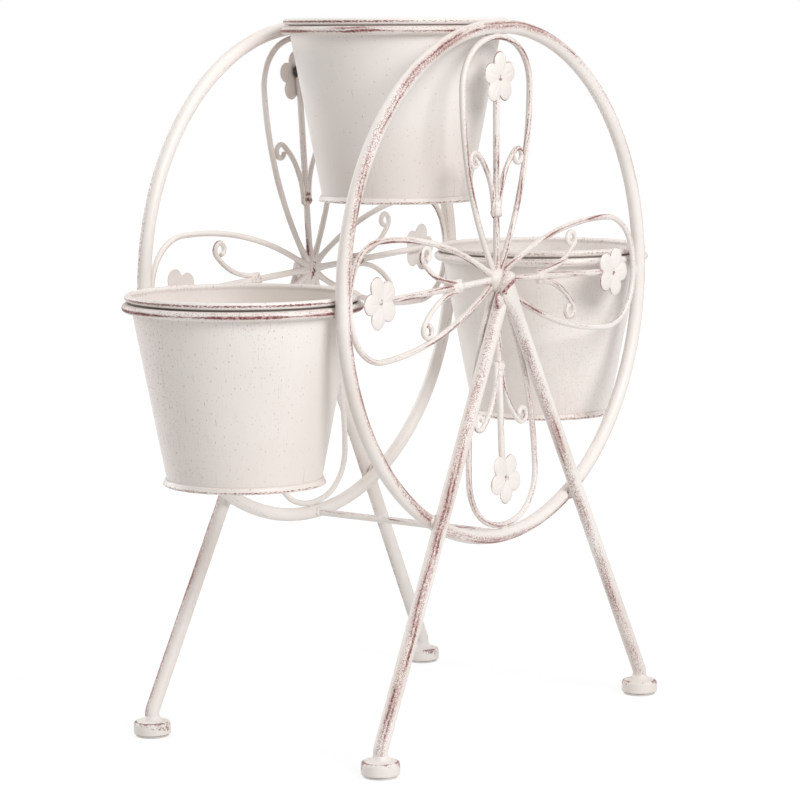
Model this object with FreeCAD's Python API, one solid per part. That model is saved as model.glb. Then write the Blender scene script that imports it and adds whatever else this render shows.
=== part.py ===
import FreeCAD, Part
import math
import os

# Flower cart stand: a welded wire stand of two upright wheels that carries three tapered metal pots.
# Millimetres. X runs along the stand, from the left pot to the right pot, Y along the wheels' axis, Z up.
# The origin is on the floor, under the middle. The front wheel is at -Y, and the rear one mirrors it.

# ---- Wheels ----
HOOP_RADIUS = 210.0  # centre line of a wheel's hoop
HOOP_TUBE = 11.5  # diameter
WHEEL_SPACING = 204.0  # between the hoops' centre planes
HOOP_HEIGHT = 375.0  # the hoops' centres over the floor
HUB_RISE = 3.0  # the hubs sit this far above the hoops' centres
HUB_RADIUS = 11.0
HUB_THICKNESS = 6.0
DISH = 4.0  # how far the hub stands inside its hoop's plane
CROSSBAR_ANGLE = 272.0  # degrees from +X towards +Z
CROSSBAR_WIRE = 6.0

# ---- Ornament in each quarter of a wheel, along its spoke ----
SPOKE_WIRE = 5.5
SPOKE_OVERRUN = 4.0  # the spoke ends this far past the flower's middle
PETAL_WIRE = 5.0
PETAL_HALF_WIDTH = 47.5
PETAL_CORNER_ASIDE = 7.5  # centre of the corner between a petal's side and its blunt tip, beside the spoke
PETAL_TIP_ANGLE = 20.0  # half of the tip's arc, in degrees
PETAL_ROOT_ANGLE = 30.0  # degrees from the spoke where a petal's wires leave the hub
SCROLL_WIRE = 4.4
COLLAR_DIAMETER = 10.5
COLLAR_LENGTH = 8.0
CURL_ALONG = 43.5  # centre of a scroll's curl, along the spoke from the collar
CURL_INSET = 17.0  # from the petal's widest line in to the curl's centre
CURL_RADIUS = 6.8  # the curl winds in from this radius
CURL_END_RADIUS = 4.2
CURL_START = -40.0  # degrees about the curl's centre
CURL_END = 260.0
FLOWER_INSET = 44.5  # how far short of the hoop's radius the flower's centre is, from the hub
FLOWER_RADIUS = 21.5
FLOWER_LOBES = 5
LOBE_RADIUS = 8.5
LOBE_CORNERS = (-75, -25, 25, 75)  # degrees about a lobe's centre, from the lobe's own line
FLOWER_EDGE = 1.2  # thickness at the lobes' edge
FLOWER_CROWN = 4.0  # height of a lobe's crown over the flower's back
FLOWER_DIMPLE = 2.2  # height of the middle over the back

# Each quarter's spoke, in degrees from +X towards +Z, and how far short of the hoop's radius its collar is.
# The wires are bent and welded by hand, and the two wheels differ.
FRONT_QUARTERS = {
    "right": (-1.5, 148.0),
    "top": (91.5, 154.0),
    "left": (182.5, 155.0),
    "bottom": (271.5, 138.0),
}
REAR_QUARTERS = {
    "right": (3.0, 144.0),
    "top": (93.5, 150.0),
    "left": (183.5, 138.0),
    "bottom": (271.0, 148.0),
}

# ---- Legs and feet ----
LEG_TUBE = 12.0
LEG_DROP = 3.0  # the leg axes meet this far below the hub's centre
LEG_OVERLAP = 8.0  # the lapping leg runs on this far past the meeting point
LEG_SPREAD = 188.0  # from the middle to a foot's centre, along X
LEG_UPRIGHT = 8.0  # upright end above the foot, up to the bend's corner
LEG_BEND_RADIUS = 24.0
FOOT_RADIUS = 15.5
FOOT_HEIGHT = 13.0
FOOT_TOE = 2.0  # how much smaller the underside is, all round
FOOT_TOE_HEIGHT = 3.0
FOOT_CHAMFER = 2.5

# ---- Pots and the rings that hold them ----
POT_HEIGHT = 152.0
POT_TOP_RADIUS = 90.4  # outside of the wall, run up to the rim's top
POT_BOTTOM_RADIUS = 62.0  # outside of the wall, at the top of the base's skirt
POT_WALL = 1.0
RIM_RADIUS = 93.5
RIM_HEIGHT = 5.5
BASE_RADIUS = 65.0
BASE_FLOOR = 2.0  # thickness of the base under the wall
SKIRT_HEIGHT = 5.5
SKIRT_SHEET = 1.2  # thickness of the skirt's upper edge
STATIONS = {"left": 182.0, "top": 92.0, "right": 2.0}  # a pot's place on the hoops, in degrees from +X
STATION_INSET = 2.0  # from the hoops' centre line in to a pot's place
RIM_OVER_STATION = 9.25
RING_WIRE = 7.0
RING_UNDER_RIM = 13.0  # from the rim's top down to the ring's centre line
RING_PAD_LENGTH = 9.0
RING_PAD_HEIGHT = 8.0

# ---- Fits ----
POT_CLEARANCE = 0.3  # between a pot's wall and its ring
WELD_GAP = 0.25  # fit-up gap beside a weld
TIP_WELD_LENGTH = 8.0
TIP_WELD_DEPTH = 3.0

# ---- Facets ----
CHORD_ERROR = 0.21  # a curve is made of straight runs whose middles lie this far inside it at most
TUBE_SIDES = 8  # a wire is a polygon of a round wire's area, with a flat towards what it is welded to
RING_SIDES = 6
FINE_SIDES = 4

ORIGIN = FreeCAD.Vector(0, 0, 0)
AXIS_X = FreeCAD.Vector(1, 0, 0)
AXIS_Y = FreeCAD.Vector(0, 1, 0)
AXIS_Z = FreeCAD.Vector(0, 0, 1)
OUTWARD = FreeCAD.Vector(0, -1, 0)  # away from the stand's middle, on the front wheel


# ---- Points and curves ----


def polar(radius, angle, across=0.0):
    """A point in the wheels' plane, with its angle in degrees from +X towards +Z."""
    turn = math.radians(angle)
    return FreeCAD.Vector(radius * math.cos(turn), across, radius * math.sin(turn))


def mirrored_z(point):
    return FreeCAD.Vector(point.x, point.y, -point.z)


def run_length(radius):
    """Longest straight run that keeps within the chord error of an arc."""
    return 2 * math.sqrt(2 * radius * CHORD_ERROR)


def circle_steps(radius):
    """Straight runs in a full circle: a multiple of four, so that its corners lie on both axes."""
    return 4 * math.ceil(math.pi * radius / 2 / run_length(radius))


def arc_about(centre, radius, start_angle, end_angle):
    """Points of an arc in the wheels' plane."""
    turn = end_angle - start_angle
    steps = math.ceil(math.radians(abs(turn)) * radius / run_length(radius))
    return [centre + polar(radius, start_angle + turn * i / steps) for i in range(steps + 1)]


def spiral_about(centre, start_radius, end_radius, start_angle, end_angle):
    """Points of a curve that winds in about centre in the wheels' plane, at a steady rate."""
    steps = len(arc_about(centre, start_radius, start_angle, end_angle)) - 1
    points = []
    for i in range(steps + 1):
        share = i / steps
        radius = start_radius + (end_radius - start_radius) * share
        points.append(centre + polar(radius, start_angle + (end_angle - start_angle) * share))
    return points


def arc_into(start, end, heading):
    """Points of the arc from start that reaches end with the direction heading."""
    chord = start - end
    across = (chord - heading * chord.dot(heading)).normalize()
    radius = chord.Length**2 / (2 * chord.dot(across))
    centre = end + across * radius
    first = start - centre
    last = end - centre
    turn = first.getAngle(last)
    steps = math.ceil(turn * radius / run_length(radius))
    sideways = (last - first * math.cos(turn)) * (1 / math.sin(turn))
    angles = [turn * i / steps for i in range(steps + 1)]
    return [centre + first * math.cos(angle) + sideways * math.sin(angle) for angle in angles]


# ---- Solids of flat faces ----


def flat_face(corners):
    return Part.Face(Part.makePolygon(corners + [corners[0]]))


def distinct(corners):
    """The corners without those that repeat the one before, as at a turned form's axis."""
    kept = []
    for corner in corners:
        if all((corner - other).Length > 1e-6 for other in kept):
            kept.append(corner)
    return kept


def skinned(outlines, closed):
    """A solid through equal outlines in turn, either closed into a ring or capped at both ends."""
    faces = []
    count = len(outlines[0])
    following = outlines[1:] + outlines[:1] if closed else outlines[1:]
    for near, far in zip(outlines, following):
        for i in range(count):
            j = (i + 1) % count
            corners = distinct([near[i], near[j], far[j], far[i]])
            if len(corners) > 2:
                faces.append(flat_face(corners))
    if not closed:
        faces += [flat_face(outlines[0]), flat_face(outlines[-1])]
    return Part.makeSolid(Part.makeShell(faces))


def turned(outline, radius):
    """A solid turned round Z from (radius, height) corners, in the steps that a circle of radius needs."""
    outlines = []
    steps = circle_steps(radius)
    for i in range(steps):
        turn = 2 * math.pi * i / steps
        outlines.append([FreeCAD.Vector(r * math.cos(turn), r * math.sin(turn), z) for r, z in outline])
    return skinned(outlines, closed=True)


# ---- Wires ----


def corner_radius(diameter, sides):
    """Centre to corner of the polygon that has a round wire's area."""
    return diameter / 2 * math.sqrt(2 * math.pi / (sides * math.sin(2 * math.pi / sides)))


def flat_reach(diameter, sides):
    """Centre to flat of the same polygon."""
    return corner_radius(diameter, sides) * math.cos(math.pi / sides)


def section(centre, facing, across, diameter, sides):
    """Corners of a wire's outline round centre, with one flat that faces the direction facing."""
    reach = corner_radius(diameter, sides)
    corners = []
    for i in range(sides):
        angle = (i + 0.5) * 2 * math.pi / sides
        corners.append(centre + facing * (reach * math.cos(angle)) + across * (reach * math.sin(angle)))
    return corners


def wire_along(points, facing, diameter, sides, closed=False):
    """A wire from point to point of a path that is square to facing, with mitred corners."""
    outlines = []
    last = len(points) - 1
    for i, point in enumerate(points):
        before = point - points[i - 1] if closed or i > 0 else points[1] - point
        after = points[(i + 1) % len(points)] - point if closed or i < last else before
        before.normalize()
        after.normalize()
        along = (before + after).normalize()
        across = along.cross(facing) * (1 / along.dot(before))
        outlines.append(section(point, facing, across, diameter, sides))
    return skinned(outlines, closed)


def wire_ring(radius, steps_radius, axis, diameter, sides):
    """A ring of wire round the origin, in as many steps as a circle of steps_radius."""
    across = axis.cross(AXIS_X)
    steps = circle_steps(steps_radius)
    points = []
    for i in range(steps):
        turn = 2 * math.pi * i / steps
        points.append(AXIS_X * (radius * math.cos(turn)) + across * (radius * math.sin(turn)))
    return wire_along(points, axis, diameter, sides, closed=True)


# ---- One quarter of a wheel: along +X from the hub's centre, outward is -Y as on the front wheel ----


def in_wheel(shape, angle):
    """Tilts a quarter's piece to the dish, turns it to its angle and moves it to the front hub."""
    placed = shape.copy()
    placed.rotate(ORIGIN, AXIS_Z, -math.degrees(math.atan(DISH / HOOP_RADIUS)))
    placed.translate(AXIS_Y * DISH)
    placed.rotate(ORIGIN, OUTWARD, angle)
    placed.translate(FreeCAD.Vector(0, -WHEEL_SPACING / 2, HOOP_HEIGHT + HUB_RISE))
    return placed


def spoke(start_radius):
    path = [AXIS_X * start_radius, AXIS_X * (HOOP_RADIUS - FLOWER_INSET + SPOKE_OVERRUN)]
    return wire_along(path, OUTWARD, SPOKE_WIRE, TUBE_SIDES)


def hoop_reach(radius, angle):
    """From the hub's centre at an angle out to a circle about the hoop's centre."""
    turn = math.radians(angle)
    return math.sqrt(radius**2 - (HUB_RISE * math.cos(turn)) ** 2) - HUB_RISE * math.sin(turn)


def petal(angle):
    """A loop from inside the hub out to the hoop and back, with the weld that ties its tip to the hoop."""
    hoop_inside = hoop_reach(HOOP_RADIUS - flat_reach(HOOP_TUBE, TUBE_SIDES) - CHORD_ERROR, angle)
    tip = hoop_inside - WELD_GAP - flat_reach(PETAL_WIRE, FINE_SIDES)
    bend = PETAL_HALF_WIDTH - PETAL_CORNER_ASIDE
    setback = PETAL_CORNER_ASIDE / math.sin(math.radians(PETAL_TIP_ANGLE))
    tip_radius = bend + setback
    tip_centre = AXIS_X * (tip - tip_radius)
    corner_centre = tip_centre + polar(setback, PETAL_TIP_ANGLE)
    corner = arc_about(corner_centre, bend, PETAL_TIP_ANGLE, 90)
    root = polar(HUB_RADIUS - 2 * CHORD_ERROR, PETAL_ROOT_ANGLE)
    upper = arc_into(root, corner[-1], AXIS_X)[:-1] + corner[::-1]
    lower = [mirrored_z(point) for point in upper]
    blunt_end = arc_about(tip_centre, tip_radius, -PETAL_TIP_ANGLE, PETAL_TIP_ANGLE)
    path = lower + blunt_end[1:-1] + upper[::-1]
    weld = Part.makeBox(
        hoop_reach(HOOP_RADIUS, angle) - tip,
        TIP_WELD_DEPTH,
        TIP_WELD_LENGTH,
        FreeCAD.Vector(tip, -TIP_WELD_DEPTH / 2, -TIP_WELD_LENGTH / 2),
    )
    return wire_along(path, OUTWARD, PETAL_WIRE, FINE_SIDES).fuse(weld)


def scroll_pair(place):
    """Two scrolls that curl away from the spoke, in one collar round it."""
    curl_centre = FreeCAD.Vector(place + CURL_ALONG, 0, PETAL_HALF_WIDTH - CURL_INSET)
    curl = spiral_about(curl_centre, CURL_RADIUS, CURL_END_RADIUS, CURL_START, CURL_END)
    aside = flat_reach(SPOKE_WIRE, TUBE_SIDES) + flat_reach(SCROLL_WIRE, FINE_SIDES)
    root = FreeCAD.Vector(place, 0, aside)
    stem = arc_into(root, curl[0], polar(1, CURL_START + 90))
    path = stem + curl[1:]
    upper = wire_along(path, OUTWARD, SCROLL_WIRE, FINE_SIDES)
    lower = wire_along([mirrored_z(point) for point in path], OUTWARD, SCROLL_WIRE, FINE_SIDES)
    start = AXIS_X * (place - COLLAR_LENGTH / 2)
    collar = wire_along([start, start + AXIS_X * COLLAR_LENGTH], OUTWARD, COLLAR_DIAMETER, TUBE_SIDES)
    return collar.fuse([upper, lower]).cut(spoke(0))


def flower():
    """A pressed flower: crowned lobes round a dimple, on a flat back that lies on the spoke."""
    back = -flat_reach(SPOKE_WIRE, TUBE_SIDES)
    centre = AXIS_X * (HOOP_RADIUS - FLOWER_INSET)
    lobe_line = FLOWER_RADIUS - LOBE_RADIUS
    half = 180.0 / FLOWER_LOBES
    half_chord = lobe_line * math.sin(math.radians(half))
    valley = lobe_line * math.cos(math.radians(half)) + math.sqrt(LOBE_RADIUS**2 - half_chord**2)
    dimple = centre + polar(0, 0, back - FLOWER_DIMPLE)
    outline = []
    faces = []
    for lobe in range(FLOWER_LOBES):
        angle = lobe * 2 * half
        crown = centre + polar(lobe_line, angle, back - FLOWER_CROWN)
        edge = [centre + polar(valley, angle - half, back)]
        for turn in LOBE_CORNERS:
            edge.append(centre + polar(lobe_line, angle, back) + polar(LOBE_RADIUS, angle + turn))
        outline += edge
        edge.append(centre + polar(valley, angle + half, back))
        rim = [point + OUTWARD * FLOWER_EDGE for point in edge]
        for i in range(len(rim) - 1):
            faces.append(flat_face([rim[i], rim[i + 1], crown]))
            faces.append(flat_face([edge[i], edge[i + 1], rim[i + 1], rim[i]]))
        faces.append(flat_face([rim[0], crown, dimple]))
        faces.append(flat_face([rim[-1], crown, dimple]))
    faces.append(flat_face(outline))
    return Part.makeSolid(Part.makeShell(faces))


# ---- A wheel's pieces, in place on the front one ----


def hub():
    """A short round boss that all the spokes and petals are welded to."""
    boss = turned([(0, 0), (HUB_RADIUS, 0), (HUB_RADIUS, HUB_THICKNESS), (0, HUB_THICKNESS)], HUB_RADIUS)
    boss.rotate(ORIGIN, AXIS_X, 90)
    boss.translate(FreeCAD.Vector(0, HUB_THICKNESS / 2 + DISH - WHEEL_SPACING / 2, HOOP_HEIGHT + HUB_RISE))
    return boss


def hoop():
    ring = wire_ring(HOOP_RADIUS, HOOP_RADIUS, AXIS_Y, HOOP_TUBE, TUBE_SIDES)
    ring.translate(FreeCAD.Vector(0, -WHEEL_SPACING / 2, HOOP_HEIGHT))
    return ring


def wheel_nodes(quarters):
    """Each node of a wheel with these quarters, under its name without the side."""
    nodes = {"hoop": hoop(), "hub": hub()}
    for name, (angle, scroll_inset) in quarters.items():
        nodes["petal_" + name] = in_wheel(petal(angle), angle).cut(nodes["hub"]).cut(nodes["hoop"])
        nodes["spoke_" + name] = in_wheel(spoke(HUB_RADIUS / 2), angle).cut(nodes["hub"])
        nodes["scrolls_" + name] = in_wheel(scroll_pair(HOOP_RADIUS - scroll_inset), angle)
        nodes["flower_" + name] = in_wheel(flower(), angle)
    return nodes


# ---- Legs and feet ----


def leg_line():
    """Top and lower corner of the right front leg's axis, which passes the hub and the hoop closely."""
    reach = flat_reach(LEG_TUBE, TUBE_SIDES) + WELD_GAP
    at_hub = WHEEL_SPACING / 2 - DISH + HUB_THICKNESS / 2 + reach
    at_hoop = WHEEL_SPACING / 2 + flat_reach(HOOP_TUBE, TUBE_SIDES) + reach
    rise = HUB_RISE - LEG_DROP  # of the axes' meeting point over the hoop's centre
    drop = HOOP_HEIGHT + rise - FOOT_HEIGHT - LEG_UPRIGHT
    length = math.hypot(LEG_SPREAD, drop)
    level = rise * drop / length  # from the top down the leg to the point nearest the hoop's centre
    crossing = level + math.sqrt(HOOP_RADIUS**2 - rise**2 + level**2)
    slope = (at_hoop - at_hub) / (crossing + LEG_OVERLAP)
    top = FreeCAD.Vector(0, -at_hub - slope * LEG_OVERLAP, HOOP_HEIGHT + rise)
    corner = FreeCAD.Vector(LEG_SPREAD, top.y - slope * length, FOOT_HEIGHT + LEG_UPRIGHT)
    return top, corner


def leg(overlap):
    """The right front leg: upright on its foot, then bent to lean in to the hub."""
    top, corner = leg_line()
    lean = (top - corner).normalize()
    turn = lean.getAngle(AXIS_Z)
    setback = LEG_BEND_RADIUS * math.tan(turn / 2)
    bend = arc_into(corner - AXIS_Z * setback, corner + lean * setback, lean)
    path = [corner - AXIS_Z * LEG_UPRIGHT] + bend + [top + lean * overlap]
    facing = AXIS_Z.cross(lean).normalize()
    return wire_along(path, facing, LEG_TUBE, TUBE_SIDES)


def foot():
    """A round foot under the right front leg, with a smaller underside and a chamfered top."""
    outline = [
        (0, 0),
        (FOOT_RADIUS - FOOT_TOE, 0),
        (FOOT_RADIUS, FOOT_TOE_HEIGHT),
        (FOOT_RADIUS, FOOT_HEIGHT - FOOT_CHAMFER),
        (FOOT_RADIUS - FOOT_CHAMFER, FOOT_HEIGHT),
        (0, FOOT_HEIGHT),
    ]
    corner = leg_line()[1]
    placed = turned(outline, FOOT_RADIUS)
    placed.translate(FreeCAD.Vector(corner.x, corner.y, 0))
    return placed


def coped_leg():
    """The left front leg, cut to fit the side of a right one that laps it."""
    top, corner = leg_line()
    lean = (top - corner).normalize()
    facing = AXIS_Z.cross(lean).normalize()
    cope = wire_along([corner, top + lean * LEG_OVERLAP], facing, LEG_TUBE + 2 * WELD_GAP, TUBE_SIDES)
    pieces = leg(0).mirror(ORIGIN, AXIS_X).cut(cope).Solids
    return max(pieces, key=lambda piece: piece.Volume)


def leg_nodes(lapping, coped):
    """The front legs and feet, under their names without the side. The lapping leg passes the coped one."""
    nodes = {
        "leg_" + lapping: leg(LEG_OVERLAP),
        "leg_" + coped: coped_leg(),
        "foot_" + lapping: foot(),
        "foot_" + coped: foot().mirror(ORIGIN, AXIS_X),
    }
    if lapping == "left":
        return {name: shape.mirror(ORIGIN, AXIS_X) for name, shape in nodes.items()}
    return nodes


# ---- Pots and rings ----


def wall_radius(height):
    """Outside of a pot's wall at a height over its base."""
    share = (height - SKIRT_HEIGHT) / (POT_HEIGHT - SKIRT_HEIGHT)
    return POT_BOTTOM_RADIUS + (POT_TOP_RADIUS - POT_BOTTOM_RADIUS) * share


def station(name):
    """A pot's place at the hoops."""
    return polar(HOOP_RADIUS - STATION_INSET, STATIONS[name]) + AXIS_Z * HOOP_HEIGHT


def pot_wall():
    """A tapered sheet wall with a beaded rim."""
    under_rim = POT_HEIGHT - RIM_HEIGHT
    outline = [
        (wall_radius(BASE_FLOOR), BASE_FLOOR),
        (wall_radius(under_rim), under_rim),
        (RIM_RADIUS, under_rim),
        (RIM_RADIUS, POT_HEIGHT),
        (POT_TOP_RADIUS - POT_WALL, POT_HEIGHT),
        (wall_radius(BASE_FLOOR) - POT_WALL, BASE_FLOOR),
    ]
    return turned(outline, RIM_RADIUS)


def pot_base():
    """A round base whose flared skirt holds the wall's lower end."""
    outline = [
        (0, 0),
        (BASE_RADIUS, 0),
        (POT_BOTTOM_RADIUS + SKIRT_SHEET, SKIRT_HEIGHT),
        (POT_BOTTOM_RADIUS, SKIRT_HEIGHT),
        (wall_radius(BASE_FLOOR), BASE_FLOOR),
        (0, BASE_FLOOR),
    ]
    return turned(outline, RIM_RADIUS)


def pot_ring():
    """A ring for a pot, with a pad at each side that meets a hoop's inner flat."""
    radius = wall_radius(POT_HEIGHT - RING_UNDER_RIM) + POT_CLEARANCE + corner_radius(RING_WIRE, RING_SIDES)
    hoop_face = WHEEL_SPACING / 2 - flat_reach(HOOP_TUBE, TUBE_SIDES)
    pad = Part.makeBox(
        RING_PAD_LENGTH,
        hoop_face - radius,
        RING_PAD_HEIGHT,
        FreeCAD.Vector(-RING_PAD_LENGTH / 2, radius, -flat_reach(RING_WIRE, RING_SIDES)),
    )
    ring = wire_ring(radius, RIM_RADIUS, AXIS_Z, RING_WIRE, RING_SIDES)
    return ring.fuse([pad, pad.mirror(ORIGIN, AXIS_Y)])


def pot_nodes():
    nodes = {}
    pieces = {"ring": pot_ring(), "pot": pot_wall(), "pot_base": pot_base()}
    for name in STATIONS:
        rim_top = station(name) + AXIS_Z * RIM_OVER_STATION
        heights = {"ring": RING_UNDER_RIM, "pot": POT_HEIGHT, "pot_base": POT_HEIGHT}
        for piece, shape in pieces.items():
            placed = shape.copy()
            placed.translate(rim_top - AXIS_Z * heights[piece])
            nodes[piece + "_" + name] = placed
    return nodes


def crossbar():
    """The bar that ties the two hoops near their lowest points."""
    end = WHEEL_SPACING / 2 - flat_reach(HOOP_TUBE, TUBE_SIDES)
    place = polar(HOOP_RADIUS, CROSSBAR_ANGLE) + AXIS_Z * HOOP_HEIGHT
    path = [place - AXIS_Y * end, place + AXIS_Y * end]
    return wire_along(path, AXIS_Z, CROSSBAR_WIRE, TUBE_SIDES)


def all_nodes():
    nodes = {"crossbar": crossbar()}
    for name, shape in {**wheel_nodes(FRONT_QUARTERS), **leg_nodes("left", "right")}.items():
        nodes["front_" + name] = shape
    for name, shape in {**wheel_nodes(REAR_QUARTERS), **leg_nodes("right", "left")}.items():
        nodes["rear_" + name] = shape.mirror(ORIGIN, AXIS_Y)
    nodes.update(pot_nodes())
    return nodes


os.makedirs("parts", exist_ok=True)
for node, shape in all_nodes().items():
    shape.exportStep("parts/" + node + ".step")
    state = "valid" if shape.isValid() else "BAD"
    print(node, len(shape.Solids), "solids", round(shape.Volume), "mm3", state)
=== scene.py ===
import math

import bpy
from mathutils import Matrix, Vector, noise


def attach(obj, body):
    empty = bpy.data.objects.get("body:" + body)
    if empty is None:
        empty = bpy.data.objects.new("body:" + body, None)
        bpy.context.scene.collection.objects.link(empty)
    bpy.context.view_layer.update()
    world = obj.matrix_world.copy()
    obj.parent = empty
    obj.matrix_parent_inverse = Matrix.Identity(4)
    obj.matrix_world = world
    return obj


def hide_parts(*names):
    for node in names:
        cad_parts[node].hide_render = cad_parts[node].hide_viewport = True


# The looks of the flower cart stand: smooth painted wires, welds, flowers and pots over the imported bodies.
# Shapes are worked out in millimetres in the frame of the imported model, and their meshes are in metres.

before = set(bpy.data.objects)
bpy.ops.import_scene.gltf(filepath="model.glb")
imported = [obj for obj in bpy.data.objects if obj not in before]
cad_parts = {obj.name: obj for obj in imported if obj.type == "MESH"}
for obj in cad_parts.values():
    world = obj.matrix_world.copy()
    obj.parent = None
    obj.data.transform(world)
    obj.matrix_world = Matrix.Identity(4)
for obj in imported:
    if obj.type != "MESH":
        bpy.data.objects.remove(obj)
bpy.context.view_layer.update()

MM = 0.001

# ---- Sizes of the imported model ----
HOOP_RADIUS = 210.0
HOOP_TUBE = 11.5
WHEEL_SPACING = 204.0
HOOP_HEIGHT = 375.0
HUB_RISE = 3.0
HUB_RADIUS = 11.0
DISH = 4.0
CROSSBAR_ANGLE = 272.0
CROSSBAR_WIRE = 6.0
SPOKE_WIRE = 5.5
SPOKE_OVERRUN = 4.0
PETAL_WIRE = 5.0
PETAL_HALF_WIDTH = 47.5
PETAL_CORNER_RADIUS = 40.0
PETAL_TIP_ANGLE = 20.0
PETAL_ROOT_ANGLE = 30.0
SCROLL_WIRE = 4.4
COLLAR_DIAMETER = 10.5
COLLAR_LENGTH = 8.0
CURL_ALONG = 43.5
CURL_ASIDE = 30.5
CURL_RADIUS = 6.8
CURL_END_RADIUS = 4.2
CURL_START = -40.0
CURL_END = 260.0
FLOWER_PLACE = 165.5
FLOWER_RADIUS = 21.5
FLOWER_LOBES = 5
LOBE_RADIUS = 8.5
# Each quarter's angle, and how far along its spoke the collar is.
FRONT_QUARTERS = {
    "right": (-1.5, 62.0),
    "top": (91.5, 56.0),
    "left": (182.5, 55.0),
    "bottom": (271.5, 72.0),
}
REAR_QUARTERS = {
    "right": (3.0, 66.0),
    "top": (93.5, 60.0),
    "left": (183.5, 72.0),
    "bottom": (271.0, 62.0),
}
LEG_TUBE = 12.0
LEG_DROP = 3.0
LEG_OVERLAP = 8.0
LEG_SPREAD = 188.0
LEG_UPRIGHT = 8.0
LEG_AT_HUB = 107.09  # the legs' axes from the middle, along Y, at the hub and where they cross the hoop
LEG_AT_HOOP = 113.69
FOOT_RADIUS = 15.5
FOOT_HEIGHT = 13.0
POT_HEIGHT = 152.0
POT_TOP_RADIUS = 90.4
POT_BOTTOM_RADIUS = 62.0
POT_WALL = 1.0
RIM_RADIUS = 93.5
RIM_HEIGHT = 5.5
BASE_RADIUS = 65.0
SKIRT_HEIGHT = 5.5
STATIONS = {"left": 182.0, "top": 92.0, "right": 2.0}
STATION_RADIUS = 208.0
RIM_OVER_STATION = 9.25
RING_WIRE = 7.0
RING_UNDER_RIM = 13.0
RING_RADIUS = 92.03

# ---- Sizes that only the looks have ----
BEND_RADIUS = 10.0  # a leg's bend above its foot
LEG_END = 3.0  # the squashed leg's end from where the axes meet
SQUASH_LENGTH = 46.0  # how far from that end the squashed leg keeps changing
SQUASH_WIDER = 0.6  # how much wider its end is, as a share
SQUASH_FLATTER = 0.45  # how much flatter
SQUASH_OUTWARD = 8.0  # how far its end is bent outward, over the other leg
SQUASH_ASIDE = 8.7  # and towards the wheel's left
CREASE_WIRE = 4.6  # the rubbed crease across that end
LOWER_CREASE_WIRE = 3.2
FOOT_ROUNDING = 3.0  # of a foot's upper edge
RING_PAINT = 0.2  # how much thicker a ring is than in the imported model
RING_RISE = {"left": 2.4, "top": 3.0, "right": 2.6}  # how much nearer a ring is to its rim than there
WIRE_SIDES = 20
WIRE_NOSE = [(0.35, 0.94), (0.62, 0.78), (0.8, 0.55), (0.9, 0.05)]  # a rounded end's reach and width
NOSE_MARK = 0.4  # wear map's step for each row of a rounded end
BEAD_RINGS = 12
BEAD_SIDES = 20
FLOWER_STEPS = 150
FLOWER_RINGS = 14
TURNED_STEPS = 160
FOOT_STEPS = 72
HOOP_STEPS = 360
RING_STEPS = 220
FLOOR_REACH = 6  # metres

# ---- The photograph's camera ----
EYE = Vector((-2.058775, -1.553627, 0.585679))
CAMERA_RIGHT = Vector((0.60327, -0.79753, -0.00395))
CAMERA_UP = Vector((0.09883, 0.06984, 0.99265))
CAMERA_BACK = Vector((-0.79139, -0.59922, 0.12095))
LENS = 138.06
SHIFT_X = 0.00385
SHIFT_Y = -0.0006

# ---- Colours, as linear values ----
CREAM = (0.82, 0.775, 0.745, 1)
CREAM_DEEP = (0.74, 0.68, 0.635, 1)
MAROON = (0.15, 0.045, 0.043, 1)
MAROON_PALE = (0.50, 0.30, 0.285, 1)
DARK_METAL = (0.045, 0.036, 0.034, 1)
# painted shade: the dark brown of the gap under a pot's rim and of the groove round a foot
GAP_SHADE_COLOUR = (0.13, 0.10, 0.066, 1)

WALL_WEAR = 0.2  # how worn a pot's wall is where it is all scratched
RIM_LINE = 1.2  # marks the line round a rim that is rubbed
RIM_LEAST = 0.72  # how worn that line is on its least worn side
BASE_WORN_TURN = 0.6  # share of a turn at which a pot's lower edge is most worn

# Places across a wire's wear map, in metres from its worn line.
SECOND_LINE = 0.0029
STRIP_MIDDLE = 0.0014
LINE_THIN, LINE_BROAD = 0.00018, 0.0007
LINE_WANDER = 0.0009
LINE_JITTER = 0.0003

OUTWARD = Vector((0, -1, 0))
AXIS_X = Vector((1, 0, 0))
AXIS_Y = Vector((0, 1, 0))
AXIS_Z = Vector((0, 0, 1))


# ---- Points and curves, in the wheels' plane unless they say otherwise ----


def polar(radius, angle, across=0.0):
    turn = math.radians(angle)
    return Vector((radius * math.cos(turn), across, radius * math.sin(turn)))


def arc_about(centre, radius, start_angle, end_angle, end_radius=None):
    """Points of an arc, or of a curve that winds in to end_radius."""
    final = radius if end_radius is None else end_radius
    turn = end_angle - start_angle
    steps = max(3, math.ceil(abs(math.radians(turn)) * radius / 1.2), math.ceil(abs(turn) / 6))
    points = []
    for i in range(steps + 1):
        share = i / steps
        points.append(centre + polar(radius + (final - radius) * share, start_angle + turn * share))
    return points


def arc_into(start, end, heading):
    """Points of the arc from start that reaches end with the direction heading."""
    chord = start - end
    across = (chord - heading * chord.dot(heading)).normalized()
    radius = chord.length_squared / (2 * chord.dot(across))
    centre = end + across * radius
    first = start - centre
    last = end - centre
    turn = first.angle(last)
    steps = max(3, math.ceil(turn * radius / 2.0))
    sideways = (last - first * math.cos(turn)) / math.sin(turn)
    points = []
    for i in range(steps + 1):
        angle = turn * i / steps
        points.append(centre + first * math.cos(angle) + sideways * math.sin(angle))
    return points


def straight(start, end, step=3.0):
    """Points of a line, about a step apart."""
    count = max(1, round((end - start).length / step))
    return [start.lerp(end, i / count) for i in range(count + 1)]


def mirrored_z(point):
    return Vector((point.x, point.y, -point.z))


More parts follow.
